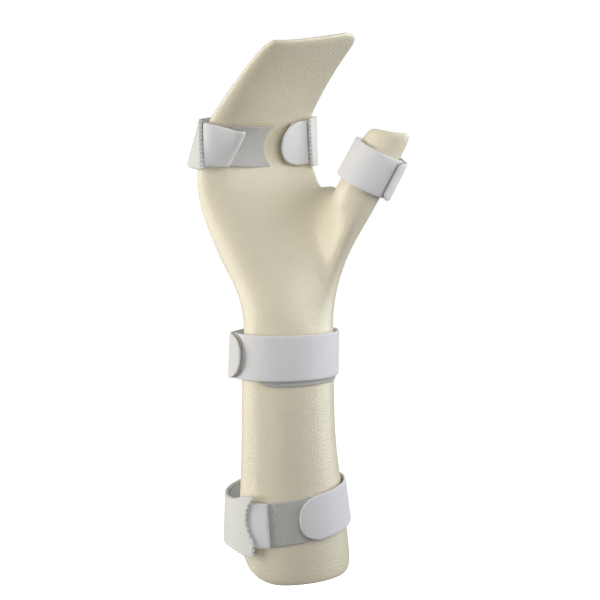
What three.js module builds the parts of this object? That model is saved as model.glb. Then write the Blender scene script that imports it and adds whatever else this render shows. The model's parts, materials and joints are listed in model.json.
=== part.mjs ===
// Resting hand splint for a right hand: one moulded thermoplastic shell (forearm trough, palm and
// finger pan, thumb gutter) held on by four hook-and-loop straps.
//
// Frame, in millimetres: +Z runs distally from the elbow to the fingertips, +X to the thumb side and
// +Y dorsally, so the outside of the shell faces -Y. The origin is the middle of the wrist channel.
import * as THREE from "three";

const { clamp, degToRad, lerp, smoothstep } = THREE.MathUtils;

// ---- Driving dimensions -------------------------------------------------------------------------

const shellThickness = 3.2;
const forearmLength = 173; // proximal end to wrist line, along the trough
const forearmHalfWidth = 41; // at the proximal end
const forearmDepth = 34; // trough depth at the proximal end
const wristHalfWidth = 32;
const wristDepth = 25;
const palmHalfWidth = 46;
const panHalfWidth = 37; // at the fingertips
const palmLength = 124; // wrist line to the middle of the knuckle bend
const panLength = 93; // knuckle bend to the free end of the finger pan
const wristExtension = 28; // degrees
const knuckleFlexion = 45; // degrees of the pan behind the forearm's line, just past the knuckles
const knuckleSlant = 0.3; // lead of the knuckle bend on the little-finger side, per mm across
const fingertipFlexion = 10; // further curl of the pan to its end, degrees
const proximalCorner = 34; // corner radii in the flat blank
const endSlant = 0.24; // lead of the free end on the index side, per mm across
const panCorner = 7;
const thumbEndSlant = 5; // lead of the far side over the web side, each way from the middle
const thumbCorner = 7;
const webSetback = 30; // of the notch between index finger and thumb, behind the knuckles
const webRadius = 8; // of that notch

const thumbRadius = 12.4; // middle of the wall at the thumb's tip
const thumbBaseRadius = 13.2;
const thumbCover = 78; // degrees of gutter wall either side of its middle line
const thumbSetback = 25; // the gutter starts this far behind the web,
const thumbInset = 13; // this far inside the palm's widest line
const thumbDrop = 43; // and its middle this far below the palm
const thumbReach = new THREE.Vector3(13, -17, 39); // from there to its free end
const thumbFacing = 35; // degrees that the gutter's outside turns to the little-finger side

const strapWidth = 30;
const thumbStrapWidth = 27;
const strapThickness = 1.6;
const hookThickness = 1;
const hookMargin = 1; // of a hook strip inside each edge of its strap
const padThickness = 2.4;
const padOverhang = 2; // of a pad past each edge of its strap
const padCorner = 3;
const padFlare = 3.5; // of the palm pad's free end, off its strap
const clearance = 0.45; // between layers, more than the facets stray from their curves
const cutGap = 0.5; // between the stretches of one strap, besides their rounded edges
const tabRadius = 14; // of the rounded corners at the end of a tab
const forearmStrapPlace = 43 - forearmLength; // middles of the straps, along the spine
const forearmStrapSlant = 0.12; // rise to the thumb side, per mm across
const wristStrapPlace = -25;
const palmStrapPlace = palmLength + 1;
const palmStrapSlant = 0.13; // rise to the index-finger side, per mm across
const thumbStrapPlace = 18; // from the start of the gutter, along it
const forearmHeight = 31; // back of the limb above the mid-lateral line, under each strap
const wristHeight = 25;
const knuckleHeight = 37; // back of the hand above the shell's volar line
const thumbHeight = 11.5;

// ---- Curves -------------------------------------------------------------------------------------

// A smooth function through [position, value] pairs: cubic Hermite with centred slopes.
function track(keys) {
  const slope = (i) => {
    const a = keys[Math.max(i - 1, 0)];
    const b = keys[Math.min(i + 1, keys.length - 1)];
    return (b[1] - a[1]) / (b[0] - a[0]);
  };
  return (s) => {
    let i = 0;
    while (i < keys.length - 2 && s > keys[i + 1][0]) i++;
    const [s0, v0] = keys[i];
    const [s1, v1] = keys[i + 1];
    const h = s1 - s0;
    const t = clamp((s - s0) / h, 0, 1);
    const t2 = t * t;
    const t3 = t2 * t;
    return (2 * t3 - 3 * t2 + 1) * v0 + (t3 - 2 * t2 + t) * h * slope(i)
      + (3 * t2 - 2 * t3) * v1 + (t3 - t2) * h * slope(i + 1);
  };
}

function bezier(p0, p1, p2, p3, t) {
  const u = 1 - t;
  return new THREE.Vector3()
    .addScaledVector(p0, u * u * u)
    .addScaledVector(p1, 3 * u * u * t)
    .addScaledVector(p2, 3 * u * t * t)
    .addScaledVector(p3, t * t * t);
}

// ---- Spine: the volar line of the shell, bent at the wrist and across the knuckles ----------------

const fingerEnd = palmLength + panLength;
const wristBend = [-18, 24]; // where each bend starts and ends, along the spine
const knuckleBend = [palmLength - 22, palmLength + 22];
const spineStart = -forearmLength;
const spineStep = 2;

// Degrees that the shell leans dorsally at s, on the lengthwise line x from the middle.
function tilt(s, x) {
  const past = s - x * knuckleSlant;
  return wristExtension * smoothstep(s, ...wristBend)
    - (wristExtension + knuckleFlexion) * smoothstep(past, ...knuckleBend)
    - fingertipFlexion * smoothstep(past, knuckleBend[1], fingerEnd);
}

// A point at s along the lengthwise line x, raised by h to the dorsal side, and the line's direction.
function frameAt(s, x) {
  let y = -wristDepth;
  let z = spineStart;
  const steps = Math.max(1, Math.ceil((s - spineStart) / spineStep));
  const step = (s - spineStart) / steps;
  for (let i = 0; i < steps; i++) {
    const lean = degToRad(tilt(spineStart + (i + 0.5) * step, x));
    y += step * Math.sin(lean);
    z += step * Math.cos(lean);
  }
  const lean = degToRad(tilt(s, x));
  return {
    origin: new THREE.Vector3(x, y, z),
    dorsal: new THREE.Vector3(0, Math.cos(lean), -Math.sin(lean)),
    distal: new THREE.Vector3(0, Math.sin(lean), Math.cos(lean)),
  };
}

function place(s, x, h) {
  const { origin, dorsal } = frameAt(s, x);
  return origin.addScaledVector(dorsal, h);
}

// ---- Sections of the shell's middle surface -------------------------------------------------------

const seamAngle = degToRad(24); // where the thumb side of the trough leaves the palm, past the wrist
const rimAngle = degToRad(88); // the trough's walls end here, on the mid-lateral line

// Sections of the forearm trough are arcs of an ellipse. Each row: place, half width, depth and shift.
const troughRows = [
  [-forearmLength, forearmHalfWidth, forearmDepth, 1],
  [-forearmLength * 0.78, forearmHalfWidth - 3, forearmDepth - 2, -0.5],
  [-forearmLength * 0.5, wristHalfWidth + 1.5, wristDepth + 3.5, -3],
  [-forearmLength * 0.25, wristHalfWidth + 0.5, wristDepth + 1.5, -3.5],
  [-forearmLength * 0.07, wristHalfWidth - 0.1, wristDepth + 0.3, -2.5],
  [0, wristHalfWidth, wristDepth, -2],
];

// The four points, as x and height, of the cubic that follows the ellipse between two angles.
function troughArc([, halfWidth, depth, shift], from, to) {
  const k = (4 / 3) * Math.tan((to - from) / 4);
  const at = (angle, reach) => [
    shift + halfWidth * (Math.sin(angle) + reach * Math.cos(angle)),
    wristDepth - depth * (Math.cos(angle) - reach * Math.sin(angle)),
  ];
  return [at(from, 0), at(from, k), at(to, -k), at(to, 0)];
}

// Sections past the wrist. Each row: place, half width, then the four points of a cubic, from the
// little-finger rim to the thumb crease or, past the web, to the index-finger rim. A point is its x, as
// a share of the half width, and its height.
const webPlace = palmLength - webSetback;
const indexRim = 1 + webRadius / panHalfWidth; // the notch cuts its radius off this
const palmRows = [
  [0.32 * webPlace, palmHalfWidth, [-0.74, 24], [-0.68, 3], [0.065, -1], [0.35, -3]],
  [0.64 * webPlace, palmHalfWidth, [-0.87, 26], [-0.74, -4], [0.24, 9], [0.37, -7]],
  [webPlace, palmHalfWidth, [-0.98, 25], [-0.84, -2], [0.61, 10], [0.8, 0]],
  [palmLength, palmHalfWidth, [-0.98, 20], [-0.86, 2], [0.13, 0], [0.95, 5]],
  [palmLength + 0.4 * panLength, palmHalfWidth, [-0.92, 14], [-0.86, 2], [0, -2], [0.95, 4]],
  [fingerEnd, panHalfWidth, [-1, 7], [-0.93, 0], [0, -1], [indexRim, 1]],
].map(([s, half, ...points]) => [s, points.map(([share, height]) => [share * half, height])]);

// Cubics whose points run smoothly through those of the key sections.
function loft(keys) {
  const tracks = [0, 1, 2, 3].map((point) =>
    [0, 1].map((axis) => track(keys.map(([s, points]) => [s, points[point][axis]]))));
  return (u, s) => {
    const [p0, p1, p2, p3] = tracks.map(([x, h]) => new THREE.Vector3(x(s), h(s), 0));
    const { x, y } = bezier(p0, p1, p2, p3, u);
    return place(s, x, y);
  };
}

// The palm side runs from the little-finger rim, u = 0, to the thumb crease or index-finger rim, u = 1,
// and the thumb side of the trough from the crease's line to its own rim.
const palmSide = loft([
  ...troughRows.map((row) => [row[0], troughArc(row, -rimAngle, seamAngle)]),
  ...palmRows,
]);
const thumbSide = loft(troughRows.map((row) => [row[0], troughArc(row, seamAngle, rimAngle)]));

// ---- Thumb gutter ---------------------------------------------------------------------------------

const thumbKnuckle = place(webPlace - thumbSetback, palmHalfWidth - thumbInset, -thumbDrop);
const thumbTip = thumbKnuckle.clone().add(thumbReach);
const thumbLength = thumbReach.length();
const thumbAxis = thumbReach.clone().normalize();
const facing = degToRad(thumbFacing);
const gutterSide = new THREE.Vector3(Math.cos(facing), -Math.sin(facing), 0);
gutterSide.addScaledVector(thumbAxis, -gutterSide.dot(thumbAxis)).normalize();
const gutterOut = new THREE.Vector3().crossVectors(gutterSide, thumbAxis);
if (gutterOut.y > 0) gutterOut.negate();

// A point of the gutter's middle surface: v from 0 on the web side to 1 on the far side, l from 0 at
// the thumb's knuckle to 1 at its tip.
function gutter(v, l) {
  const angle = degToRad(lerp(-thumbCover, thumbCover, v));
  const radius = lerp(thumbBaseRadius, thumbRadius, l);
  return thumbKnuckle.clone().lerp(thumbTip, l)
    .addScaledVector(gutterSide, radius * Math.sin(angle))
    .addScaledVector(gutterOut, radius * Math.cos(angle));
}

// ---- Sheets: a net of quads on a middle surface, thickened both ways --------------------------------

class Sheet {
  points = [];
  quads = [];
  add(point) {
    return this.points.push(point) - 1;
  }
  // Adds the quads of a net of point numbers, net[i][j].
  weave(net) {
    for (let i = 0; i + 1 < net.length; i++)
      for (let j = 0; j + 1 < net[i].length; j++)
        this.quads.push([net[i][j], net[i][j + 1], net[i + 1][j + 1], net[i + 1][j]]);
    return this;
  }
  normals() {
    const normals = this.points.map(() => new THREE.Vector3());
    for (const [a, b, c, d] of this.quads) {
      const across = this.points[c].clone().sub(this.points[a]);
      const along = this.points[d].clone().sub(this.points[b]);
      const n = across.cross(along);
      for (const k of [a, b, c, d]) normals[k].add(n);
    }
    return normals.map((n) => n.normalize());
  }
  // Smooths the listed points, none of them on the rim, by drawing each towards its neighbours' mean.
  fair(ids, rounds) {
    const neighbours = new Map(ids.map((id) => [id, new Set()]));
    for (const quad of this.quads)
      quad.forEach((a, i) => {
        neighbours.get(a)?.add(quad[(i + 1) % 4]);
        neighbours.get(a)?.add(quad[(i + 3) % 4]);
      });
    for (let round = 0; round < rounds; round++)
      for (const [id, around] of neighbours) {
        const mean = new THREE.Vector3();
        for (const other of around) mean.add(this.points[other]);
        this.points[id].lerp(mean.divideScalar(around.size), 0.5);
      }
    return this;
  }
  // Edges that only one quad uses, each with that quad on its left.
  rim() {
    const edges = new Map();
    for (const quad of this.quads)
      quad.forEach((a, i) => edges.set(`${a},${quad[(i + 1) % 4]}`, [a, quad[(i + 1) % 4]]));
    return [...edges.values()].filter(([a, b]) => !edges.has(`${b},${a}`));
  }
  // A closed solid from `low` to `high` along the normals, with a rounded rim.
  solid(low, high, bulge = 0.35 * (high - low)) {
    const normals = this.normals();
    const rim = this.rim();
    const outward = new Map();
    for (const [a, b] of rim) {
      const along = this.points[b].clone().sub(this.points[a]);
      const out = along.cross(normals[a].clone().add(normals[b])).normalize();
      for (const k of [a, b]) outward.set(k, (outward.get(k) ?? new THREE.Vector3()).add(out));
    }
    const count = this.points.length;
    const position = [];
    for (const offset of [high, low])
      this.points.forEach((p, i) => position.push(...p.clone().addScaledVector(normals[i], offset)));
    const rimIndex = new Map();
    for (const [k, out] of outward) {
      rimIndex.set(k, position.length / 3);
      position.push(...this.points[k].clone()
        .addScaledVector(normals[k], (high + low) / 2)
        .addScaledVector(out.normalize(), bulge));
    }
    const index = [];
    for (const [a, b, c, d] of this.quads) {
      index.push(a, b, c, a, c, d);
      index.push(count + a, count + c, count + b, count + a, count + d, count + c);
    }
    for (const [a, b] of rim) {
      const [ra, rb] = [rimIndex.get(a), rimIndex.get(b)];
      index.push(b, a, ra, b, ra, rb);
      index.push(rb, ra, count + a, rb, count + a, count + b);
    }
    const geometry = new THREE.BufferGeometry();
    geometry.setAttribute("position", new THREE.Float32BufferAttribute(position, 3));
    geometry.setIndex(index);
    return geometry;
  }
}

// ---- Shell ------------------------------------------------------------------------------------------

const palmColumns = 12;
const wallColumns = 6; // thumb side of the trough
const forearmRows = 20;
const creaseRows = 11; // wrist line to web
const webRows = 4; // along the notch
const fingerRows = 17; // notch to the end of the pan, closest together at the knuckle bend
const thumbRows = 8; // seam to the thumb's knuckle
const gutterRows = 6;

// How far a rounded corner of this radius pulls in the end, at a distance from the side.
function cornerPull(radius, distance) {
  const d = clamp(radius - distance, 0, radius);
  return radius - Math.sqrt(radius * radius - d * d);
}

const palmBreadth = 2 * palmHalfWidth;
const troughGirth = 110; // about the arc of the trough's end, for placing its corners

function buildShell() {
  const sheet = new Sheet();
  const columns = palmColumns + wallColumns;
  const seamShare = (seamAngle + rimAngle) / (2 * rimAngle); // of the girth, on the palm side
  const rows = [];
  for (let i = 0; i <= forearmRows; i++) {
    rows.push(Array.from({ length: columns + 1 }, (_, j) => {
      const toRim = Math.min(j / palmColumns * seamShare, (columns - j) / wallColumns * (1 - seamShare));
      const end = cornerPull(proximalCorner, toRim * troughGirth) - forearmLength;
      const s = lerp(end, 0, i / forearmRows);
      return sheet.add(j <= palmColumns
        ? palmSide(j / palmColumns, s)
        : thumbSide((j - palmColumns) / wallColumns, s));
    }));
  }
  const wristRow = rows[forearmRows];

  const handRows = [wristRow.slice(0, palmColumns + 1)];
  const evenly = (count, at) => Array.from({ length: count }, (_, i) => at((i + 1) / count));
  const places = [
    ...evenly(creaseRows, (t) => webPlace * t),
    ...evenly(webRows, (t) => webPlace + webRadius * (1 - Math.cos(t * Math.PI / 2))),
    ...evenly(fingerRows, (t) => lerp(webPlace + webRadius, fingerEnd, t ** 1.35)),
  ];
  for (const place of places) {
    const past = clamp((place - webPlace) / (fingerEnd - webPlace), 0, 1);
    const notch = place > webPlace ? webRadius - cornerPull(webRadius, place - webPlace) : 0;
    const reach = 1 - notch / palmBreadth;
    handRows.push(Array.from({ length: palmColumns + 1 }, (_, j) => {
      const u = j / palmColumns;
      const side = Math.min(u, 1 - u) * palmBreadth;
      const lateral = (2 * u - 1) * panHalfWidth;
      const s = place + past * (lateral * endSlant - cornerPull(panCorner, side));
      return sheet.add(palmSide(u * reach, s));
    }));
  }

  // Fibres of the thumb: from the crease, web end first, and then along the wrist line to the rim.
  const crease = handRows.slice(0, creaseRows + 1).map((row, i) =>
    ({ id: row[palmColumns], s: webPlace * i / creaseRows }));
  const wall = wristRow.slice(palmColumns + 1).map((id) => ({ id, s: 0 }));
  const roots = [...crease.reverse(), ...wall];
  const last = roots.length - 1;
  // Degrees from straight across the crease that the fibres leave at, from the web to the rim.
  const turn = track([[0, -5], [0.1, 15], [0.24, 40], [0.44, 58], [creaseRows / last, 72], [1, 90]]);
  const fibres = roots.map(({ id, s }, k) => {
    const share = k / last;
    const p = sheet.points[id];
    const { distal } = frameAt(s, p.x);
    const across = k <= creaseRows
      ? palmSide(1, s).sub(palmSide(0.98, s)).normalize()
      : new THREE.Vector3(1, 0, 0);
    const beta = degToRad(turn(share));
    const leave = across.multiplyScalar(Math.cos(beta)).addScaledVector(distal, Math.sin(beta));
    const slant = thumbEndSlant * (2 * share - 1);
    const arrive = gutter(share, 0);
    const handle = 0.36 * arrive.distanceTo(p);
    const p1 = p.clone().addScaledVector(leave, handle);
    const p2 = arrive.clone().addScaledVector(thumbAxis, -handle);
    const side = Math.min(share, 1 - share) * 2 * thumbRadius * degToRad(thumbCover);
    const end = 1 + (slant - cornerPull(thumbCorner, side)) / thumbLength;
    return [
      id,
      ...evenly(thumbRows, (t) => sheet.add(bezier(p, p1, p2, arrive, t))),
      ...evenly(gutterRows, (t) => sheet.add(gutter(share, t * end))),
    ];
  });
  const nearCrease = [
    ...handRows.slice(1, creaseRows).flatMap((row) => row.slice(-4)),
    ...fibres.slice(1, -1).flatMap((fibre) => fibre.slice(1, 6)),
    ...rows.slice(-2).flatMap((row) => row.slice(palmColumns - 2, columns)),
  ];
  sheet.weave(rows).weave(handRows).weave(fibres.reverse());
  return sheet.fair(nearCrease, 12);
}

// ---- Rings: the closed paths round the limb that the straps follow ------------------------------------
//
// ring(w, lift) is a curve once round the limb: t grows from the middle of the shell's outside, t = 0,
// past the thumb side, round the back at t = 0.5 and home by the little-finger side. The curve is w mm
// distal of the strap's middle line and lift mm above the shell's outer face.

const halfStrap = strapWidth / 2;
const outerFace = shellThickness / 2;

function ovalRing(section) {
  return (w, lift) => (t) => {
    const angle = 2 * Math.PI * t;
    const side = Math.sin(angle);
    const { centre, across, outward, halfWidth, depth, height } = section(w, side);
    const out = Math.cos(angle);
    return centre.clone()
      .addScaledVector(across, (halfWidth + outerFace + lift) * side)
      .addScaledVector(outward, ((out > 0 ? depth + outerFace : height) + lift) * out);
  };
}

const troughTracks = [1, 2, 3].map((column) => track(troughRows.map((row) => [row[0], row[column]])));

function troughRing(middle, slant, height) {
  return ovalRing((w, side) => {
    const s = middle + w + slant * side * forearmHalfWidth;
    const [halfWidth, depth, shift] = troughTracks.map((value) => value(s));
    return {
      centre: new THREE.Vector3(shift, 0, s),
      across: new THREE.Vector3(1, 0, 0),
      outward: new THREE.Vector3(0, -1, 0),
      halfWidth,
      depth,
      height,
    };
  });
}

const thumbRing = ovalRing((w) => {
  const along = thumbStrapPlace + w;
  const radius = lerp(thumbBaseRadius, thumbRadius, along / thumbLength);
  return {
    centre: thumbKnuckle.clone().addScaledVector(thumbAxis, along),
    across: gutterSide,
    outward: gutterOut,
    halfWidth: radius,
    depth: radius,
    height: thumbHeight,
  };
});

// The palm's outside, then an arch over the back of the hand. The knots are numbered like the turns.
const palmKnots = 12;
const archKnots = 12;
const palmEdge = 1 - webRadius / palmBreadth; // u of the index-finger rim

function palmRing(w, lift) {
  const small = 0.01;
  const frontPoint = (u, height) => {
    const s = palmStrapPlace + w + palmStrapSlant * (u - 0.5) * palmBreadth;
    const point = palmSide(u, s);
    const across = palmSide(u + small, s).sub(point);
    const along = palmSide(u, s + 1).sub(point);
    return point.addScaledVector(across.cross(along).normalize(), height);
  };
  const front = Array.from({ length: palmKnots + 1 }, (_, i) =>
    frontPoint(palmEdge * i / palmKnots, outerFace + lift));
  const { dorsal, distal } = frameAt(palmStrapPlace, 0);
  const raised = (from, up, out) => {
    const point = from.clone().addScaledVector(dorsal, up);
    point.x += out;
    return point;
  };
  const start = raised(frontPoint(palmEdge, outerFace), outerFace, outerFace + clearance);
  const end = raised(frontPoint(0, outerFace), outerFace, -clearance);
  // The handles make the arch: higher and fuller over the index finger than over the little finger.
  const indexHandle = raised(start, knuckleHeight - 4, 4);
  const littleHandle = raised(end, knuckleHeight - 8, -1);
  const arch = new THREE.CubicBezierCurve3(start, indexHandle, littleHandle, end);
  const back = Array.from({ length: archKnots - 1 }, (_, i) => {
    const t = (i + 0.5) / (archKnots - 1);
    const out = arch.getTangent(t).cross(distal).normalize();
    return arch.getPoint(t).addScaledVector(out, lift);
  });
  const middle = palmKnots / 2;
  const knots = [...front.slice(middle), ...back, ...front.slice(0, middle)];
  const curve = new THREE.CatmullRomCurve3(knots, true, "centripetal");
  return (t) => curve.getPoint(((t % 1) + 1) % 1);
}

// A strap across a hollow bridges it: straight from one edge of the strap to the other.
function bridged(ring) {
  return (w, lift) => {
    const proximal = ring(-halfStrap, lift);
    const distal = ring(halfStrap, lift);
    return (t) => proximal(t).lerp(distal(t), (w + halfStrap) / strapWidth);
  };
}

// ---- Ribbons: strips laid on a ring ---------------------------------------------------------------

const hookLift = clearance + hookThickness / 2;
const strapLift = 2 * clearance + hookThickness + strapThickness / 2;
const padLift = strapLift + strapThickness / 2 + clearance + padThickness / 2;
const tabHookLift = strapLift + strapThickness / 2 + clearance + hookThickness / 2;
const tabLift = tabHookLift + hookThickness / 2 + clearance + strapThickness / 2;

const stepsPerTurn = 40;
const smallTurn = 0.01;

// Millimetres that a curve covers per turn, at t.
function speed(curve, t) {
  return curve(t).distanceTo(curve(t + smallTurn)) / smallTurn;
}

// A ribbon from turn `from` to turn `to`, between two lines w. `lift` may be a function of the turn.
// `round` are the corner radii at its two ends, and `hollow` how deep each end curves in.
function ribbon(ring, from, to, { w, lift, thickness, round = [0, 0], hollow = [0, 0] }) {
  const liftAt = typeof lift === "function" ? lift : () => lift;
  const middle = (w[0] + w[1]) / 2;
  const half = (w[1] - w[0]) / 2;
  const steps = Math.max(2, Math.ceil((to - from) * stepsPerTurn));
  const lines = Math.max(4, 2 * Math.round(half / 5));
  const pulls = [from, to].map((t, end) => (across) => {
    const corner = cornerPull(round[end], half - Math.abs(across));
    const curve = hollow[end] * (1 - (across / half) ** 2);
    return (corner + curve) / speed(ring(middle, liftAt(t)), t);
  });
  const net = [];
  const sheet = new Sheet();
  for (let i = 0; i <= lines; i++) {
    // Lines lie closer together towards the edges, where a rounded end turns.
    const across = half * Math.sin((i / lines - 0.5) * Math.PI);
    const first = from + pulls[0](across);
    const last = to - pulls[1](across);
    net.push(Array.from({ length: steps + 1 }, (_, j) => {
      const t = lerp(first, last, j / steps);
      return sheet.add(ring(middle + across, liftAt(t))(t));
    }));
  }
  return sheet.weave(net).solid(-thickness / 2, thickness / 2);
}

// ---- The model ----------------------------------------------------------------------------------

const model = new THREE.Group();
model.name = "resting_hand_splint";
model.userData.hinges = {}; // of each strap: where its band opens and its tab peels, and both axes

function finish(name, color, roughness) {
  return new THREE.MeshStandardMaterial({ name, color, roughness, metalness: 0 });
}

const thermoplastic = finish("thermoplastic", 0xe4dcc4, 0.45);
const webbing = finish("strap_webbing", 0xececee, 0.8);
const hook = finish("hook_tape", 0xd9d6cd, 0.85);
const creamHook = finish("cream_hook_tape", 0xe0d8b8, 0.85);
const felt = finish("pad_felt", 0xdfe2dc, 0.95);

function addPart(name, geometry, material) {
  const mesh = new THREE.Mesh(geometry, material);
  mesh.name = name;
  model.add(mesh);
}

addPart("shell", buildShell().solid(-outerFace, outerFace), thermoplastic);

const edgeBulge = 0.35 * strapThickness; // of a ribbon's rounded edge past its outline
const tabClimb = 0.06; // turns in which a tab rises on to its hook tape

// One strap in three stretches: an anchor fixed to the shell, a band over the back of the limb and a
// tab. `stops` are the turns where they end, and the hinges lie between them on the outer face.
function addStrap(name, ring, stops, { tab = strapLift, round = tabRadius, width = strapWidth }) {
  const [anchorEnd, openHinge, peelHinge, tabEnd] = stops;
  const middle = ring(0, strapLift);
  const gap = (t) => (edgeBulge + cutGap / 2) / speed(middle, t);
  const outer = ring(0, strapLift + strapThickness / 2);
  const way = Math.sign(peelHinge - openHinge);
  const crease = (t) => {
    const across = ring(halfStrap, 0)(t).sub(ring(-halfStrap, 0)(t));
    return across.normalize().multiplyScalar(-way);
  };
  model.userData.hinges[name] = {
    open: { at: outer(openHinge), axis: crease(openHinge) },
    peel: { at: outer(peelHinge), axis: crease(peelHinge) },
  };
  const stretch = (piece, from, to, options) => {
    const a = from + way * (options.start ?? 0) * gap(from);
    const b = to - way * (options.end ?? 0) * gap(to);
    const ends = way > 0 ? [a, b] : [b, a];
    const corners = options.round ?? [0, 0];
    addPart(`${name}_strap_${piece}`, ribbon(ring, ...ends, {
      w: [-width / 2, width / 2],
      lift: options.lift ?? strapLift,
      thickness: strapThickness,
      round: way > 0 ? corners : corners.toReversed(),
    }), webbing);
  };
  stretch("anchor", anchorEnd, openHinge, { end: 1 });
  stretch("band", openHinge, peelHinge, { start: 1, end: 1 });
  const climb = (t) => lerp(strapLift, tab, smoothstep(way * (t - peelHinge), 0, tabClimb));
  stretch("tab", peelHinge, tabEnd, { start: 1, lift: climb, round: [0, round] });
}

function addHook(name, ring, from, to, options = {}) {
  const inner = (options.width ?? strapWidth) / 2 - hookMargin;
  const { w = [-inner, inner], lift = hookLift, material = hook, ...ends } = options;
  addPart(name, ribbon(ring, from, to, { w, lift, thickness: hookThickness, ...ends }), material);
}

function addPad(name, ring, from, to, lift = padLift) {
  const wide = halfStrap + padOverhang;
  const round = [padCorner, padCorner];
  addPart(name, ribbon(ring, from, to, { w: [-wide, wide], lift, thickness: padThickness, round }), felt);
}

const forearmRing = troughRing(forearmStrapPlace, forearmStrapSlant, forearmHeight);
const wristRing = troughRing(wristStrapPlace, 0, wristHeight);
const palmStrapRing = bridged(palmRing);

addHook("forearm_hook_strip", forearmRing, -0.16, 0.06);
addStrap("forearm", forearmRing, [-0.13, -0.27, -0.73, -1.045], {});
addPad("forearm_strap_pad", forearmRing, -0.7, -0.285);
addPad("forearm_pad_flap", forearmRing, -0.257, -0.165);

addHook("wrist_hook_strip", wristRing, -0.17, 0.17, {
  w: [-halfStrap - 3, halfStrap - 5], // shows below the strap
  round: [9, 9],
});
addStrap("wrist", wristRing, [-0.27, 0.27, 0.65, 0.79], { tab: tabLift });
addHook("wrist_tab_hook", wristRing, -0.27, -0.22, {
  lift: tabHookLift,
  round: [0, 8],
  material: creamHook,
});

addHook("palm_hook_strip", palmRing, -0.12, 0.09, { hollow: [0, 5] });
addHook("palm_hook_patch", palmRing, 0.15, 0.235, {
  w: [-halfStrap - 5, halfStrap - 3],
  material: creamHook,
});
addStrap("palm", palmStrapRing, [-0.07, -0.28, -0.73, -0.885], {});
addPad("palm_strap_pad", palmStrapRing, -0.7, -0.295);
addPad("palm_pad_flap", palmStrapRing, -0.775, -0.735, (t) =>
  padLift + padFlare * smoothstep(-t, 0.7, 0.8));

addHook("thumb_hook_strip", thumbRing, -0.15, 0.15, { width: thumbStrapWidth });
addStrap("thumb", thumbRing, [0.2, -0.27, -0.73, -0.87], {
  tab: tabLift,
  round: 4,
  width: thumbStrapWidth,
});
addHook("thumb_tab_hook", thumbRing, 0.14, 0.2, { lift: tabHookLift, width: thumbStrapWidth });

export default model;
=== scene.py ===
# %% [markdown]
# # A resting hand splint
# A sheet of cream thermoplastic is warmed, moulded to the palm side of the forearm, hand and thumb, and
# left to set. Four white straps hold it on. Each strap is soft loop tape: one end stays on the shell, the
# strap goes over the back of the limb, and its other end presses on to hook tape. Felt pads with pinked
# edges go with the forearm strap and the palm strap.
#
# The measured model is loaded first, and nothing in it is moved. Every piece here stands in its place.

# %% Load the measured model
import json
import math

import bpy
import numpy as np
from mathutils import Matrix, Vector


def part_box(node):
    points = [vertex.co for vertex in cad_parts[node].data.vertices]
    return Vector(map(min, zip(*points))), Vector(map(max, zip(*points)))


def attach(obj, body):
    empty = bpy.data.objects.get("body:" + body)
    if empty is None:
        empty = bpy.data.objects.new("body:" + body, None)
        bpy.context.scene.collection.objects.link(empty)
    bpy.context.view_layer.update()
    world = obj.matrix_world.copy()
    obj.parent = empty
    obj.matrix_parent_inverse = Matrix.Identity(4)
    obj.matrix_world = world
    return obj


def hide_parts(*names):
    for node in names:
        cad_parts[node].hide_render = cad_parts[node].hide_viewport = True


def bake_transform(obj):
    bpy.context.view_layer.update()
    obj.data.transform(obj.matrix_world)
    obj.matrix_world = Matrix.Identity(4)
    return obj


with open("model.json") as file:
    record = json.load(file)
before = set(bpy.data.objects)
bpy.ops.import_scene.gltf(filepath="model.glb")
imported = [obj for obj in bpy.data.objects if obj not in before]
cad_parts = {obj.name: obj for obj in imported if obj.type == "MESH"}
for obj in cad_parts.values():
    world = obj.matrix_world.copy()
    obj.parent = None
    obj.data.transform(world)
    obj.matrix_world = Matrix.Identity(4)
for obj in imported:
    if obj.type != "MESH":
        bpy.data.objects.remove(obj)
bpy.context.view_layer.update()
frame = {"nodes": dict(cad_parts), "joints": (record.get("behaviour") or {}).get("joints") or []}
joints = {joint["name"]: joint for joint in frame["joints"]}
mm = 0.001

# %% [markdown]
# ## Tools for modelling
# Operators act on whatever is selected, so each step picks its own pieces first. A modifier is added and
# applied in one go, so that every finished piece is a plain mesh.


# %% Pick, apply, read and write
def pick(*pieces):
    """Selects these pieces and nothing else. The first is the active one."""
    bpy.ops.object.select_all(action="DESELECT")
    for piece in pieces:
        piece.select_set(True)
    bpy.context.view_layer.objects.active = pieces[0]


def apply(piece, kind, **settings):
    """Adds a modifier to a piece and applies it."""
    modifier = piece.modifiers.new(kind, kind)
    for name, value in settings.items():
        setattr(modifier, name, value)
    pick(piece)
    bpy.ops.object.modifier_apply(modifier=modifier.name)


def points_of(piece):
    """A piece's vertices, as rows of x, y and z."""
    return np.array([vertex.co for vertex in piece.data.vertices], float).reshape(-1, 3)


def set_points(piece, points):
    piece.data.vertices.foreach_set("co", points.astype(np.float32).ravel())
    piece.data.update()


def tell(piece):
    size = np.ptp(points_of(piece), axis=0) / mm
    print(f"{piece.name}: {len(piece.data.polygons)} faces, {size.round().astype(int)} mm")


# %% [markdown]
# ## The shell
# The shell is one sheet with a bend at the wrist and another across the knuckles, and it has no straight
# edge anywhere. The model already has that shape, as flat facets. So a copy of it is merged, its triangles
# are joined into four-sided faces, and a subdivision surface rounds it as the warm sheet would.

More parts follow.
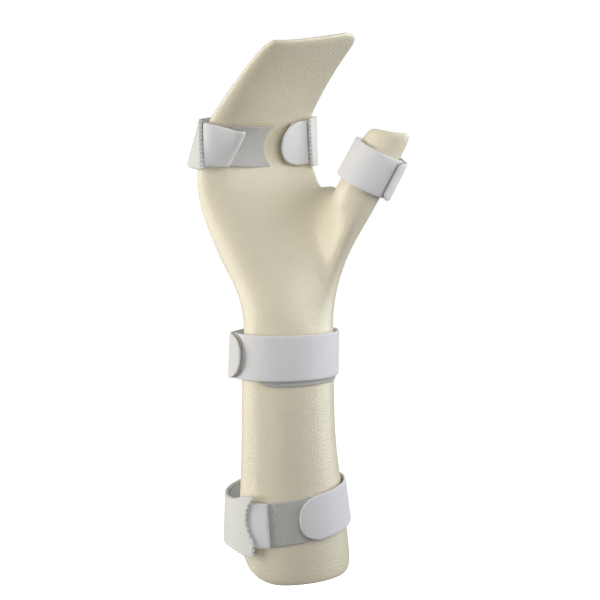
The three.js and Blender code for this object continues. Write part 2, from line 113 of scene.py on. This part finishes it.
# %% Mould the shell
shell = bpy.data.objects.new("moulded_shell", frame["nodes"]["shell"].data.copy())
bpy.context.collection.objects.link(shell)
pick(shell)
bpy.ops.mesh.customdata_custom_splitnormals_clear()
bpy.ops.object.mode_set(mode="EDIT")
bpy.ops.mesh.select_all(action="SELECT")
bpy.ops.mesh.remove_doubles(threshold=0.001 * mm)
bpy.ops.mesh.tris_convert_to_quads(face_threshold=math.radians(60), shape_threshold=math.radians(80))
bpy.ops.object.mode_set(mode="OBJECT")
apply(shell, "SUBSURF", levels=2, render_levels=2)
bpy.ops.object.shade_smooth()
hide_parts("shell")
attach(shell, "splint")
tell(shell)

# %% [markdown]
# ## The paths of the straps
# Tape is cut flat and then laid round the limb. To lay it, its path is needed: where its middle line runs
# and which way is across it. Both are read off the model's solids, by cutting them with planes that turn
# about the middle of the limb, like the pages of a book about its spine.

# %% Cut the solids with turning planes
page = math.radians(2)  # from one cutting plane to the next
most_slide = 25  # degrees sideways, past which a plane has cut off a corner
least_width = 0.7  # of the usual width, and the same below it
core = 2  # sections each side of the middle one that are always kept


def turns(points, centre, axis):
    """Angles of points about the middle of the limb, 0 on the palm side."""
    palmar = Vector((0, -1, 0))
    palmar = (palmar - axis * palmar.dot(axis)).normalized()
    away = points - centre
    return np.arctan2(away @ np.array(axis.cross(palmar)), away @ np.array(palmar))


def sections(node, centre, axis):
    """Where each plane cuts a strip of tape: its middle, its across direction and its bow, which is how
    much its edges curve outwards. Planes that cut off a corner are left out. Then come the widths, and how
    far the tape goes on past the first and last whole section."""
    points = points_of(frame["nodes"][node])
    turn = turns(points, centre, axis)
    heading = math.atan2(np.sin(turn).mean(), np.cos(turn).mean())
    turn = (turn - heading + math.pi) % (2 * math.pi) - math.pi
    a, b = np.array([edge.vertices[:] for edge in frame["nodes"][node].data.edges]).T
    lines, widths = [], []
    for cut in np.arange(turn.min() + 0.1 * page, turn.max(), page):
        crossed = ((turn[a] < cut) != (turn[b] < cut)) & (abs(turn[a] - turn[b]) < math.pi)
        part = (cut - turn[a[crossed]]) / (turn[b[crossed]] - turn[a[crossed]])
        line = points[a[crossed]] + part[:, None] * (points[b[crossed]] - points[a[crossed]])
        mean = line.mean(axis=0)
        across = np.linalg.svd(line - mean)[2][0]
        across *= np.sign(across @ np.array(axis))
        reach = (line - mean) @ across
        middle = mean + across * (reach.max() + reach.min()) / 2
        away = middle - np.array(centre)
        out = unit(away - across * (away @ across))
        bow, _, lift = np.polyfit((line - middle) @ across, (line - middle) @ out, 2)
        lines.append(np.concatenate([middle + out * lift, across, [bow]]))
        widths.append(np.ptp(reach))
    lines, widths = whole(np.array(lines), np.array(widths))
    spares = [left_over(points, lines[0], lines[1]), left_over(points, lines[-1], lines[-2])]
    return lines, widths, spares


def whole(lines, widths):
    """The sections on both sides of the middle one, up to the first on each side that is cut short or
    whose middle has slid sideways."""
    ahead = unit(np.gradient(lines[:, :3], axis=0))
    slide = np.degrees(np.arcsin((ahead * lines[:, 3:6]).sum(axis=1)))
    slid = abs(slide - np.median(slide)) > most_slide
    stops = np.flatnonzero(slid | (widths < least_width * np.median(widths)))
    half = len(lines) // 2
    low = max([stop + 1 for stop in stops if stop < half - core], default=0)
    high = min([stop for stop in stops if stop > half + core], default=len(lines))
    return lines[low:high], widths[low:high]


def left_over(points, end, before):
    """How far a strip goes on past its last whole section."""
    return ((points - end[:3]) @ unit(end[:3] - before[:3])).max()


# %% [markdown]
# The planes give a point about every millimetre. The gaps where a strap is cut in the model are bridged,
# and the corners of the facets are eased. Past the last whole section the path goes on bending as it did
# before. It then answers one question: where does a point go that lies this far along the flat tape, this
# far across it and this far above it?


# %% A path
class Path:
    """The way that a piece of tape takes round the limb, along one node or several in turn. Its line has
    a row for each millimetre: where the middle is, the direction across, and the bow."""

    def __init__(self, nodes, centre, axis, way):
        found, widths, counts, spares = [], [], [], []
        for node in nodes:
            lines, wide, spare = sections(node, centre, axis)
            found.append(lines[::way])
            widths += list(wide)
            counts.append(len(lines))
            spares.append(spare[::way])
        before, after = spares[0][0], spares[-1][1]
        found = np.concatenate(found)
        found[:, 3:6] *= way
        run = np.concatenate([[0], np.cumsum(np.linalg.norm(np.diff(found[:, :3], axis=0), axis=1))])
        line = self.sampled(np.arange(0, run[-1], mm), run, found)
        size = len(line)
        line = self.carried_on(self.eased(line), after)
        added = len(line) - size
        line = self.carried_on(line[::-1], before)[::-1]
        self.line = line
        self.start = (len(line) - size - added) * mm - before
        self.length = before + run[-1] + after
        self.width = float(np.median(widths))
        self.marks = [before + (run[k - 1] + run[k]) / 2 for k in np.cumsum(counts)[:-1]]

    def sampled(self, places, run, line):
        """The rows of a line at other places along it."""
        return np.stack([np.interp(places, run, column) for column in line.T], axis=1)

    def eased(self, line, half=6):
        """The line with its corners eased over a few millimetres. Its ends stay where they are."""
        before = 2 * line[0] - line[half:0:-1]
        after = 2 * line[-1] - line[-2 : -half - 2 : -1]
        weights = np.hanning(2 * half + 3)[1:-1]
        longer = np.concatenate([before, line, after])
        return np.stack([np.convolve(c, weights / weights.sum(), "valid") for c in longer.T], axis=1)

    def frames(self, line):
        """Ahead, across and out at each point of the line, as the columns of a matrix."""
        ahead = unit(np.gradient(line[:, :3], axis=0))
        across = line[:, 3:6]
        across = unit(across - ahead * (ahead * across).sum(axis=1, keepdims=True))
        return np.stack([ahead, across, np.cross(ahead, across)], axis=2)

    def carried_on(self, line, length, stretch=20):
        """The line, and its last stretch again and again, each moved on as a rigid piece."""
        steps = min(stretch, len(line) // 2)
        for _ in range(math.ceil((length / mm + 2) / steps)):
            frames = self.frames(line)
            turned = (frames[-2] @ frames[-2 - steps].T).T
            last = line[-steps:]
            onward = line[-1, :3] + (last[:, :3] - line[-1 - steps, :3]) @ turned
            line = np.concatenate([line, np.hstack([onward, last[:, 3:6] @ turned, last[:, 6:]])])
        return line

    def place(self, along, across, above):
        """Where points of the flat tape go."""
        run = np.arange(len(self.line)) * mm
        spots = self.sampled(along + self.start, run, self.line)
        frames = self.frames(self.line).reshape(-1, 9)
        frame_at = self.sampled(along + self.start, run, frames).reshape(-1, 3, 3)
        rise = above + spots[:, 6] * across**2
        return spots[:, :3] + frame_at[:, :, 1] * across[:, None] + frame_at[:, :, 2] * rise[:, None]

    def reach_of(self, nodes):
        """Where along the tape other nodes that lie against it begin and end."""
        points = np.concatenate([points_of(frame["nodes"][node]) for node in nodes])
        gaps = np.linalg.norm(points[:, None] - self.line[None, :, :3], axis=2)
        along = gaps.argmin(axis=1) * mm - self.start
        return along.min(), along.max()

    def axes(self, along):
        """Middle, way ahead and way out at one place on the path."""
        spots = self.place(np.array([along, along + mm, along]), np.zeros(3), np.array([0, 0, mm]))
        return spots[0], unit(spots[1] - spots[0]), unit(spots[2] - spots[0])


def unit(v):
    """A vector, or each row of several, made 1 long."""
    return v / np.linalg.norm(v, axis=-1, keepdims=True)


# %% The middle of the limb under each strap
def limb(name, axis):
    """The middle of a strap, and the axis that its planes turn about."""
    nodes = [node for node in frame["nodes"] if node.startswith(f"{name}_strap")]
    lows, highs = zip(*(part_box(node) for node in nodes))
    centre = (np.min(lows, axis=0) + np.max(highs, axis=0)) / 2
    print(f"{name}: middle {(centre / mm).round(1)} mm")
    return centre, Vector(axis).normalized()


limbs = {
    "forearm": limb("forearm", (0, 0, 1)),
    "wrist": limb("wrist", (0, 0, 1)),
    "palm": limb("palm", (0, -0.25, 1)),
    "thumb": limb("thumb", joints["thumb_strap_open"]["axis"]),
}


def path_along(*nodes, way=-1):
    path = Path(nodes, *limbs[nodes[0].split("_")[0]], way)
    print(f"{nodes[0]}: path {path.length / mm:.0f} mm long, tape {path.width / mm:.1f} mm wide")
    return path


# %% [markdown]
# ## Cutting tape and felt
# A piece is cut from a flat grid, fine enough to bend smoothly. Its outline is trimmed while it is flat,
# as with scissors: corners are rounded by drawing them in, and a pinked edge is drawn in at every second
# point. Then it gets its thickness and a subdivision that rounds its edges. Its flat shape is kept as its
# UV map, in decimetres, so that the weave follows the cloth wherever it goes.


# %% Cut, trim, thicken
flat_scale = 10  # UV units in a metre of flat cloth


def eased(value, low, high):
    """0 below low, 1 above high, and smooth between."""
    t = np.clip((value - low) / (high - low), 0, 1)
    return t * t * (3 - 2 * t)


def cut_flat(name, length, width, cell):
    """A flat grid of cloth, from x = 0 to its length."""
    bpy.ops.object.select_all(action="DESELECT")
    bpy.ops.mesh.primitive_grid_add(
        x_subdivisions=round(length / cell), y_subdivisions=round(width / cell), size=1
    )
    piece = bpy.context.active_object
    piece.name = name
    piece.scale = (length, width, 1)
    piece.location = (length / 2, 0, 0)
    bpy.ops.object.transform_apply(location=True, rotation=False, scale=True)
    return piece


def trim_end(piece, length, pull, reach, far=True):
    """Draws one end in by pull(y), and the cloth within reach of it by less and less."""
    points = points_of(piece)
    from_end = length - points[:, 0] if far else points[:, 0]
    inward = pull(points[:, 1]) * (1 - eased(from_end, 0, reach))
    points[:, 0] += -inward if far else inward
    set_points(piece, points)


def corner(width, radius):
    """How far a rounded corner draws the end in, across the tape."""

    def pull(y):
        d = np.clip(radius - (width / 2 - abs(y)), 0, radius)
        return radius - np.sqrt(radius**2 - d**2)

    return pull


def thicken(piece, thickness):
    """Gives flat cloth its thickness and round edges, and keeps its flat shape as its UV map."""
    apply(piece, "SOLIDIFY", thickness=thickness, offset=0)
    apply(piece, "SUBSURF", levels=1, render_levels=1)
    keep_flat(piece)


def keep_flat(piece):
    """Writes where each corner lies on the flat cloth to the UV map."""
    layer = piece.data.uv_layers.active
    vertices = np.empty(len(piece.data.loops), int)
    piece.data.loops.foreach_get("vertex_index", vertices)
    layer.data.foreach_set("uv", (flat_scale * points_of(piece)[vertices, :2]).ravel())


def lay(piece, path, begin=0):
    """Bends a flat piece along its path, from this far along it."""
    x, y, z = points_of(piece).T
    set_points(piece, path.place(begin + x, y, z))
    pick(piece)
    bpy.ops.object.shade_smooth_by_angle(angle=math.radians(50))
    tell(piece)


def cross_hinge(piece, path, mark, lean=0.4, half=4 * mm):
    """Works out a direction across the hinge where a laid piece crosses it, leaning outwards, which
    nothing then uses, and bakes the piece's transform into its mesh."""
    middle, ahead, out = path.axes(mark)
    direction = Vector(ahead + lean * out).normalized() * half
    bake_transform(piece)


# %% [markdown]
# ## The straps
# A strap bends at two places when it is undone: where it leaves the shell, and where its tab is peeled
# off the hook tape. A piece can follow one bend only, so a strap is laid as one length of tape and parted
# behind the limb, half way round, where the two parts always move together and their cut faces stay in
# touch. The palm strap has its tab tucked round the edge of the palm, so it only peels, and its first
# part goes with the splint.

# %% Lay a strap
strap_thickness = 1.6 * mm
strap_cell = 2.5 * mm
paths = {}


def half_of(strap, name, split, keep_start):
    """A copy of a flat strap up to the split, or from it on."""
    piece = strap.copy()
    piece.data = strap.data.copy()
    piece.name = name
    bpy.context.collection.objects.link(piece)
    pick(piece)
    bpy.ops.object.mode_set(mode="EDIT")
    bpy.ops.mesh.select_all(action="SELECT")
    bpy.ops.mesh.bisect(
        plane_co=(split, 0, 0),
        plane_no=(1, 0, 0),
        use_fill=True,
        clear_outer=keep_start,
        clear_inner=not keep_start,
    )
    bpy.ops.object.mode_set(mode="OBJECT")
    keep_flat(piece)
    return piece


def lay_strap(name, way, width, radius, lean=0.4):
    """A strap from its anchor round to its tab, in two lengths that meet behind the limb."""
    nodes = [f"{name}_strap_anchor", f"{name}_strap_band", f"{name}_strap_tab"]
    path = paths[name] = path_along(*nodes, way=way)
    strap = cut_flat(f"{name}_strap", path.length, width, strap_cell)
    trim_end(strap, path.length, corner(width, radius), 2 * radius + 6 * mm)
    thicken(strap, strap_thickness)
    opens, peels = path.marks
    split = (opens + peels) / 2
    start = half_of(strap, f"{name}_strap_start", split, keep_start=True)
    finish = half_of(strap, f"{name}_strap_end", split, keep_start=False)
    bpy.data.objects.remove(strap)
    lay(start, path)
    lay(finish, path)
    if name == "palm":
        band = "splint"
        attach(start, band)
    else:
        band = f"{name}_band"
        cross_hinge(start, path, opens)
    cross_hinge(finish, path, peels, lean)
    path.length - split
    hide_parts(*nodes[:2])
    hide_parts(nodes[2])
    return [start, finish]


straps = [
    *lay_strap("forearm", -1, 30 * mm, 14 * mm),
    *lay_strap("wrist", 1, 30 * mm, 14 * mm),
    *lay_strap("palm", -1, 30 * mm, 14 * mm, lean=0.6),
    *lay_strap("thumb", -1, 27 * mm, 4 * mm),
]

# %% [markdown]
# ## The hook tape
# Hook tape is stiffer than the strap and stuck to the shell, or to the strap's own outside for a tab to
# press on to. Each piece is one short strip. The palm's strip was trimmed to a hollow, ragged end.

# %% Lay the hook tape
hook_thickness = 1 * mm
hook_cell = 2 * mm
under_strap = (strap_thickness + hook_thickness) / 2 + 0.3 * mm
hollow_depth = 5 * mm
rag_depth = 0.8 * mm
rag_pitch = 3.4 * mm


def lay_hook(
    node, body, radius=2 * mm, near_radius=2 * mm, ragged=False, width=29 * mm, under=None
):
    """Lays one strip of hook tape along its own path, or under a strap that is given by its path."""
    path = under or path_along(node, way=1)
    begin, end = path.reach_of([node]) if under else (0, path.length)
    length = end - begin
    hook = cut_flat(f"{node}_tape", length, width, hook_cell)
    trim_end(hook, length, corner(width, near_radius), 2 * near_radius, far=False)
    if ragged:
        trim_end(hook, length, ragged_end(width), 9 * mm)
    else:
        trim_end(hook, length, corner(width, radius), 2 * radius)
    thicken(hook, hook_thickness)
    if under:
        points = points_of(hook)
        points[:, 2] -= under_strap
        set_points(hook, points)
    lay(hook, path, begin)
    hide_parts(node)
    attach(hook, body)
    return hook


def ragged_end(width):
    """A hollow end with small uneven teeth."""

    def pull(y):
        hollow = hollow_depth * (1 - (2 * y / width) ** 2)
        return hollow + rag_depth * abs((y / rag_pitch) % 1 - 0.5)

    return pull


hooks = [
    lay_hook("forearm_hook_strip", "splint"),
    lay_hook("wrist_hook_strip", "splint", radius=9 * mm, near_radius=9 * mm),
    lay_hook("palm_hook_strip", "splint", ragged=True),
    lay_hook("thumb_hook_strip", "splint", width=26 * mm),
    lay_hook("thumb_tab_hook", "thumb_tab", width=26 * mm),
]
cream_hooks = [
    lay_hook("wrist_tab_hook", "wrist_tab", radius=8 * mm),
    lay_hook("palm_hook_patch", "splint", under=paths["palm"]),
]

# %% [markdown]
# ## The felt pads
# A pad is a strip of thick soft felt, cut with pinking shears, so its edge is a row of teeth. It lies
# along the strap and bends with it. The teeth need a finer grid than the tape: four cells to a tooth. The
# forearm pad's free end has a hollow with a lobe below it. The palm pad lies outside its strap.

# %% Lay the pads
pad_thickness = 2.4 * mm
tooth = 2.8 * mm
tooth_depth = 1.2 * mm
pad_width = tooth * round(34 * mm / tooth)


def pink(piece, length, width):
    """Draws every second point of the outline in, which leaves teeth."""
    points = points_of(piece)
    x, y = points[:, 0].copy(), points[:, 1].copy()
    saw_x = abs((x / tooth) % 1 - 0.5) * 2
    saw_y = abs((y / tooth) % 1 - 0.5) * 2
    near_side = eased(abs(y), width / 2 - tooth, width / 2)
    near_end = eased(abs(x - length / 2), length / 2 - tooth, length / 2)
    points[:, 1] -= np.sign(y) * tooth_depth * saw_x * near_side
    points[:, 0] -= np.sign(x - length / 2) * tooth_depth * saw_y * near_end
    set_points(piece, points)


def lay_pad(name, nodes, path, mark, begin, length, shape, lean=0.4):
    """A pad that starts this far along a path. Its shape is given while it is still one flat layer."""
    pad = cut_flat(name, length, pad_width, tooth / 4)
    pink(pad, length, pad_width)
    shape(pad, length)
    thicken(pad, pad_thickness)
    lay(pad, path, begin)
    cross_hinge(pad, path, path.marks[mark], lean)
    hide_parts(*nodes)
    print(f"{name}: {length / mm:.0f} mm long, {pad_width / mm:.0f} mm wide")
    return pad


def scooped(pad, length, flare=0.22):
    """Flares the pad's free end, and cuts a hollow into it that leaves a lobe on the elbow side."""
    points = points_of(pad)
    points[:, 1] *= 1 + flare - flare * eased(points[:, 0], 4 * mm, 22 * mm)
    set_points(pad, points)
    trim_end(pad, length, scoop, 14 * mm, far=False)


def scoop(y, depth=6 * mm, middle=-5 * mm, half=15 * mm):
    return depth * np.clip(1 - ((y - middle) / half) ** 2, 0, 1)


def outside(pad, length):
    """Lifts the pad on to the outside of the strap, and its free end a little more."""
    points = points_of(pad)
    points[:, 2] += 2.4 * mm + 1.2 * mm * eased(points[:, 0], length - 10 * mm, length)
    set_points(pad, points)


# %% Lay the forearm pad and the palm pad
nodes = ["forearm_pad_flap", "forearm_strap_pad"]
path = path_along(*nodes)
forearm_pad = lay_pad(
    "forearm_pad", nodes, path, 0, 0, path.length, scooped
)
nodes = ["palm_strap_pad", "palm_pad_flap"]
path = paths["palm"]
begin, end = path.reach_of(nodes)
palm_pad = lay_pad(
    "palm_pad", nodes, path, 1, begin, end - begin, outside, lean=1.2
)
pads = [forearm_pad, palm_pad]

# %% [markdown]
# ## Shader maths
# A finish is a small recipe: patterns are worked out with sums on sockets, and feed the colour, the
# roughness and the bump. One class wraps a socket so that sums are written as in Python, and another
# holds the material and makes its nodes.


# %% Sockets and finishes
class Value:
    """A number from a node. Sums on it add Math nodes."""

    def __init__(self, finish, socket):
        self.finish = finish
        self.socket = socket

    def sum(self, operation, a, b):
        return self.finish.node("Math", {0: a, 1: b}, operation=operation)

    def __add__(self, other):
        return self.sum("ADD", self, other)

    def __mul__(self, other):
        return self.sum("MULTIPLY", self, other)

    __radd__ = __add__
    __rmul__ = __mul__


class Finish:
    """A material with one Principled shader, and the nodes that feed it."""

    def __init__(self, name, **constants):
        self.material = bpy.data.materials.new(name)
        self.material.use_nodes = True
        self.tree = self.material.node_tree
        self.shader = self.tree.nodes["Principled BSDF"]
        for socket, value in constants.items():
            self.shader.inputs[socket.replace("_", " ")].default_value = value

    def node(self, kind, values, output=0, **settings):
        """Adds a node: its settings first, then the values or links of its sockets."""
        node = self.tree.nodes.new(f"ShaderNode{kind}")
        for name, value in settings.items():
            setattr(node, name, value)
        for socket, value in values.items():
            if isinstance(value, Value):
                self.tree.links.new(value.socket, node.inputs[socket])
            else:
                node.inputs[socket].default_value = value
        return Value(self, node.outputs[output])

    def place(self, flat=False):
        """Where a point is: in the object, or on the flat cloth."""
        return self.node("TexCoord", {}, output="UV" if flat else "Object")

    def noise(self, place, scale, detail=2.0):
        return self.node("TexNoise", {"Vector": place, "Scale": scale, "Detail": detail})

    def cells(self, place, scale):
        """Rounded grains, 0 in their middles."""
        values = {"Vector": place, "Scale": scale, "Smoothness": 0.6}
        return self.node("TexVoronoi", values, feature="SMOOTH_F1")

    def blend(self, share, first, second):
        values = {"Factor": share, 6: (*first, 1), 7: (*second, 1)}
        return self.node("Mix", values, output=2, data_type="RGBA", clamp_factor=True)

    def feed(self, **links):
        """Links values to sockets of the shader, named with underscores for spaces."""
        for socket, value in links.items():
            self.tree.links.new(value.socket, self.shader.inputs[socket.replace("_", " ")])

    def bump(self, height, distance):
        values = {"Height": height, "Distance": distance}
        self.feed(Normal=self.node("Bump", values, output="Normal"))

    def cover(self, pieces):
        """Gives these pieces this material and no other."""
        for piece in pieces:
            piece.data.materials.clear()
            piece.data.materials.append(self.material)


# %% [markdown]
# ## Thermoplastic
# The sheet is a warm cream with a fine pebbled skin, about a millimetre from pebble to pebble. It is
# softly glossy, so the pebbles sparkle where the light grazes them. Handling leaves the colour and the
# gloss a little uneven.

# %% Finish the shell
plastic = Finish("cream_thermoplastic", IOR=1.5, Coat_Weight=0.2, Coat_Roughness=0.15)
spot = plastic.place()
mottle = plastic.noise(spot, 35)
pebbles = plastic.cells(spot, 800)
fine = plastic.noise(spot, 1500)
plastic.feed(
    Base_Color=plastic.blend(mottle, (0.83, 0.77, 0.60), (0.78, 0.73, 0.57)),
    Roughness=0.26 + 0.14 * mottle + 0.08 * fine,
)
plastic.bump(pebbles + 0.35 * fine + 0.5 * plastic.noise(spot, 300), 0.22 * mm)
plastic.cover([shell])

# %% [markdown]
# ## Loop tape, hook tape and felt
# The strap is brushed loop tape: a fine flat weave under a short nap. Hook tape shows its rows of hooks.
# Felt has no weave at all, only tangled fibres, and is a little greyer and greener than the tape.


# %% Finish the soft goods
def weave(finish, place, pitch):
    """Threads over and under, at this pitch in millimetres."""
    rate = 2 * math.pi / (flat_scale * pitch * mm)
    along, across = (
        finish.node("SeparateXYZ", {"Vector": place}, output=axis) * rate for axis in (0, 1)
    )
    return ripple(finish, along) * ripple(finish, across)


def ripple(finish, value):
    return finish.node("Math", {0: value}, operation="SINE")


def tape_finish(name, light, dark, pitch, depth, nap):
    """Woven tape: its threads, and a nap that blurs them."""
    tape = Finish(name, Roughness=0.9, Sheen_Weight=0.25, Sheen_Roughness=0.5)
    flat = tape.place(flat=True)
    threads = weave(tape, flat, pitch)
    fuzz = tape.noise(flat, 160, 4.0)
    soft = tape.noise(flat, 12)
    tape.feed(Base_Color=tape.blend(0.5 * fuzz + 0.3 * soft + 0.12 * threads, light, dark))
    tape.bump((1 - nap) * threads + nap * 3 * fuzz, depth)
    return tape


webbing = tape_finish("loop_tape", (0.86, 0.86, 0.88), (0.74, 0.74, 0.77), 0.7, 0.12 * mm, 0.6)
webbing.cover(straps)
hooking = tape_finish("hook_tape", (0.80, 0.79, 0.77), (0.55, 0.54, 0.52), 1.3, 0.4 * mm, 0.25)
hooking.cover(hooks)
cream = tape_finish("cream_hook_tape", (0.80, 0.75, 0.60), (0.60, 0.55, 0.42), 1.3, 0.4 * mm, 0.25)
cream.cover(cream_hooks)

felt = Finish("pad_felt", Roughness=1.0, Sheen_Weight=0.35, Sheen_Roughness=0.6)
spot = felt.place()
fibres = felt.noise(spot, 900, 6.0)
clumps = felt.noise(spot, 220, 3.0)
felt.feed(Base_Color=felt.blend(0.7 * fibres + 0.3 * clumps, (0.86, 0.87, 0.85), (0.70, 0.72, 0.69)))
felt.bump(fibres + clumps, 0.35 * mm)
felt.cover(pads)

# %% [markdown]
# ## Floor, light and camera
# The splint hangs over a plain white floor, which glows for the camera only and lights nothing. Two broad
# soft lights stand on either side, so the flanks are bright and the middle, which faces the camera, is a
# shade darker. A weak light low in front keeps that middle from going dull, and a small one lights the
# finger end.

# %% Stage
bpy.ops.object.select_all(action="DESELECT")
bpy.ops.mesh.primitive_plane_add(size=8, location=(0, 0, -0.32))
floor = bpy.context.active_object
floor.name = "floor"
white = (1, 1, 1, 1)
pale = (0.8, 0.8, 0.8, 1)
glow = {"Emission_Color": white, "Emission_Strength": 1.0}
ground = Finish("floor_white", Roughness=1.0, Base_Color=pale, **glow)
ground.cover([floor])
floor.visible_diffuse = False
floor.visible_glossy = False

world = bpy.data.worlds.new("studio")
bpy.context.scene.world = world
world.use_nodes = True
sky = world.node_tree
seen = sky.nodes["Background"]
seen.inputs["Color"].default_value = white
seen.inputs["Strength"].default_value = 1.0
lighting = sky.nodes.new("ShaderNodeBackground")
lighting.inputs["Strength"].default_value = 0.2
either = sky.nodes.new("ShaderNodeMixShader")
rays = sky.nodes.new("ShaderNodeLightPath")
sky.links.new(rays.outputs["Is Camera Ray"], either.inputs["Fac"])
sky.links.new(lighting.outputs[0], either.inputs[1])
sky.links.new(seen.outputs[0], either.inputs[2])
sky.links.new(either.outputs[0], sky.nodes["World Output"].inputs["Surface"])
bpy.context.scene.view_settings.view_transform = "Standard"


def bearing(azimuth, elevation):
    """The way from the splint to a place round it, azimuth 0 being the palm side."""
    a, e = math.radians(azimuth), math.radians(elevation)
    return Vector((math.sin(a) * math.cos(e), -math.cos(a) * math.cos(e), math.sin(e)))


def softbox(name, azimuth, elevation, size, power, colour, distance=1.2):
    """A square light that faces the splint."""
    light = bpy.data.lights.new(name, "AREA")
    light.size = size
    light.energy = power
    light.color = colour
    lamp = bpy.data.objects.new(name, light)
    direction = bearing(azimuth, elevation)
    lamp.location = distance * direction
    lamp.rotation_euler = direction.to_track_quat("Z", "Y").to_euler()
    bpy.context.collection.objects.link(lamp)


softbox("left_softbox", -112, 5, 1.0, 14, (1.0, 0.96, 0.88))
softbox("right_softbox", 75, 10, 1.0, 10, (0.96, 0.98, 1.0))
softbox("front_softbox", -40, -12, 0.8, 3, (1, 1, 1))
softbox("finger_softbox", 10, 32, 0.4, 1.1, (1, 1, 1), distance=0.5)

camera = bpy.data.objects.new("camera", bpy.data.cameras.new("camera"))
camera.data.lens = 72
camera.data.sensor_width = 36
camera.data.shift_x = 1 / 60
look = bearing(-30, 5.4)
camera.location = Vector((0, 0, 0.010)) + 0.8 * look
camera.rotation_euler = look.to_track_quat("Z", "Y").to_euler()
bpy.context.collection.objects.link(camera)
bpy.context.scene.camera = camera
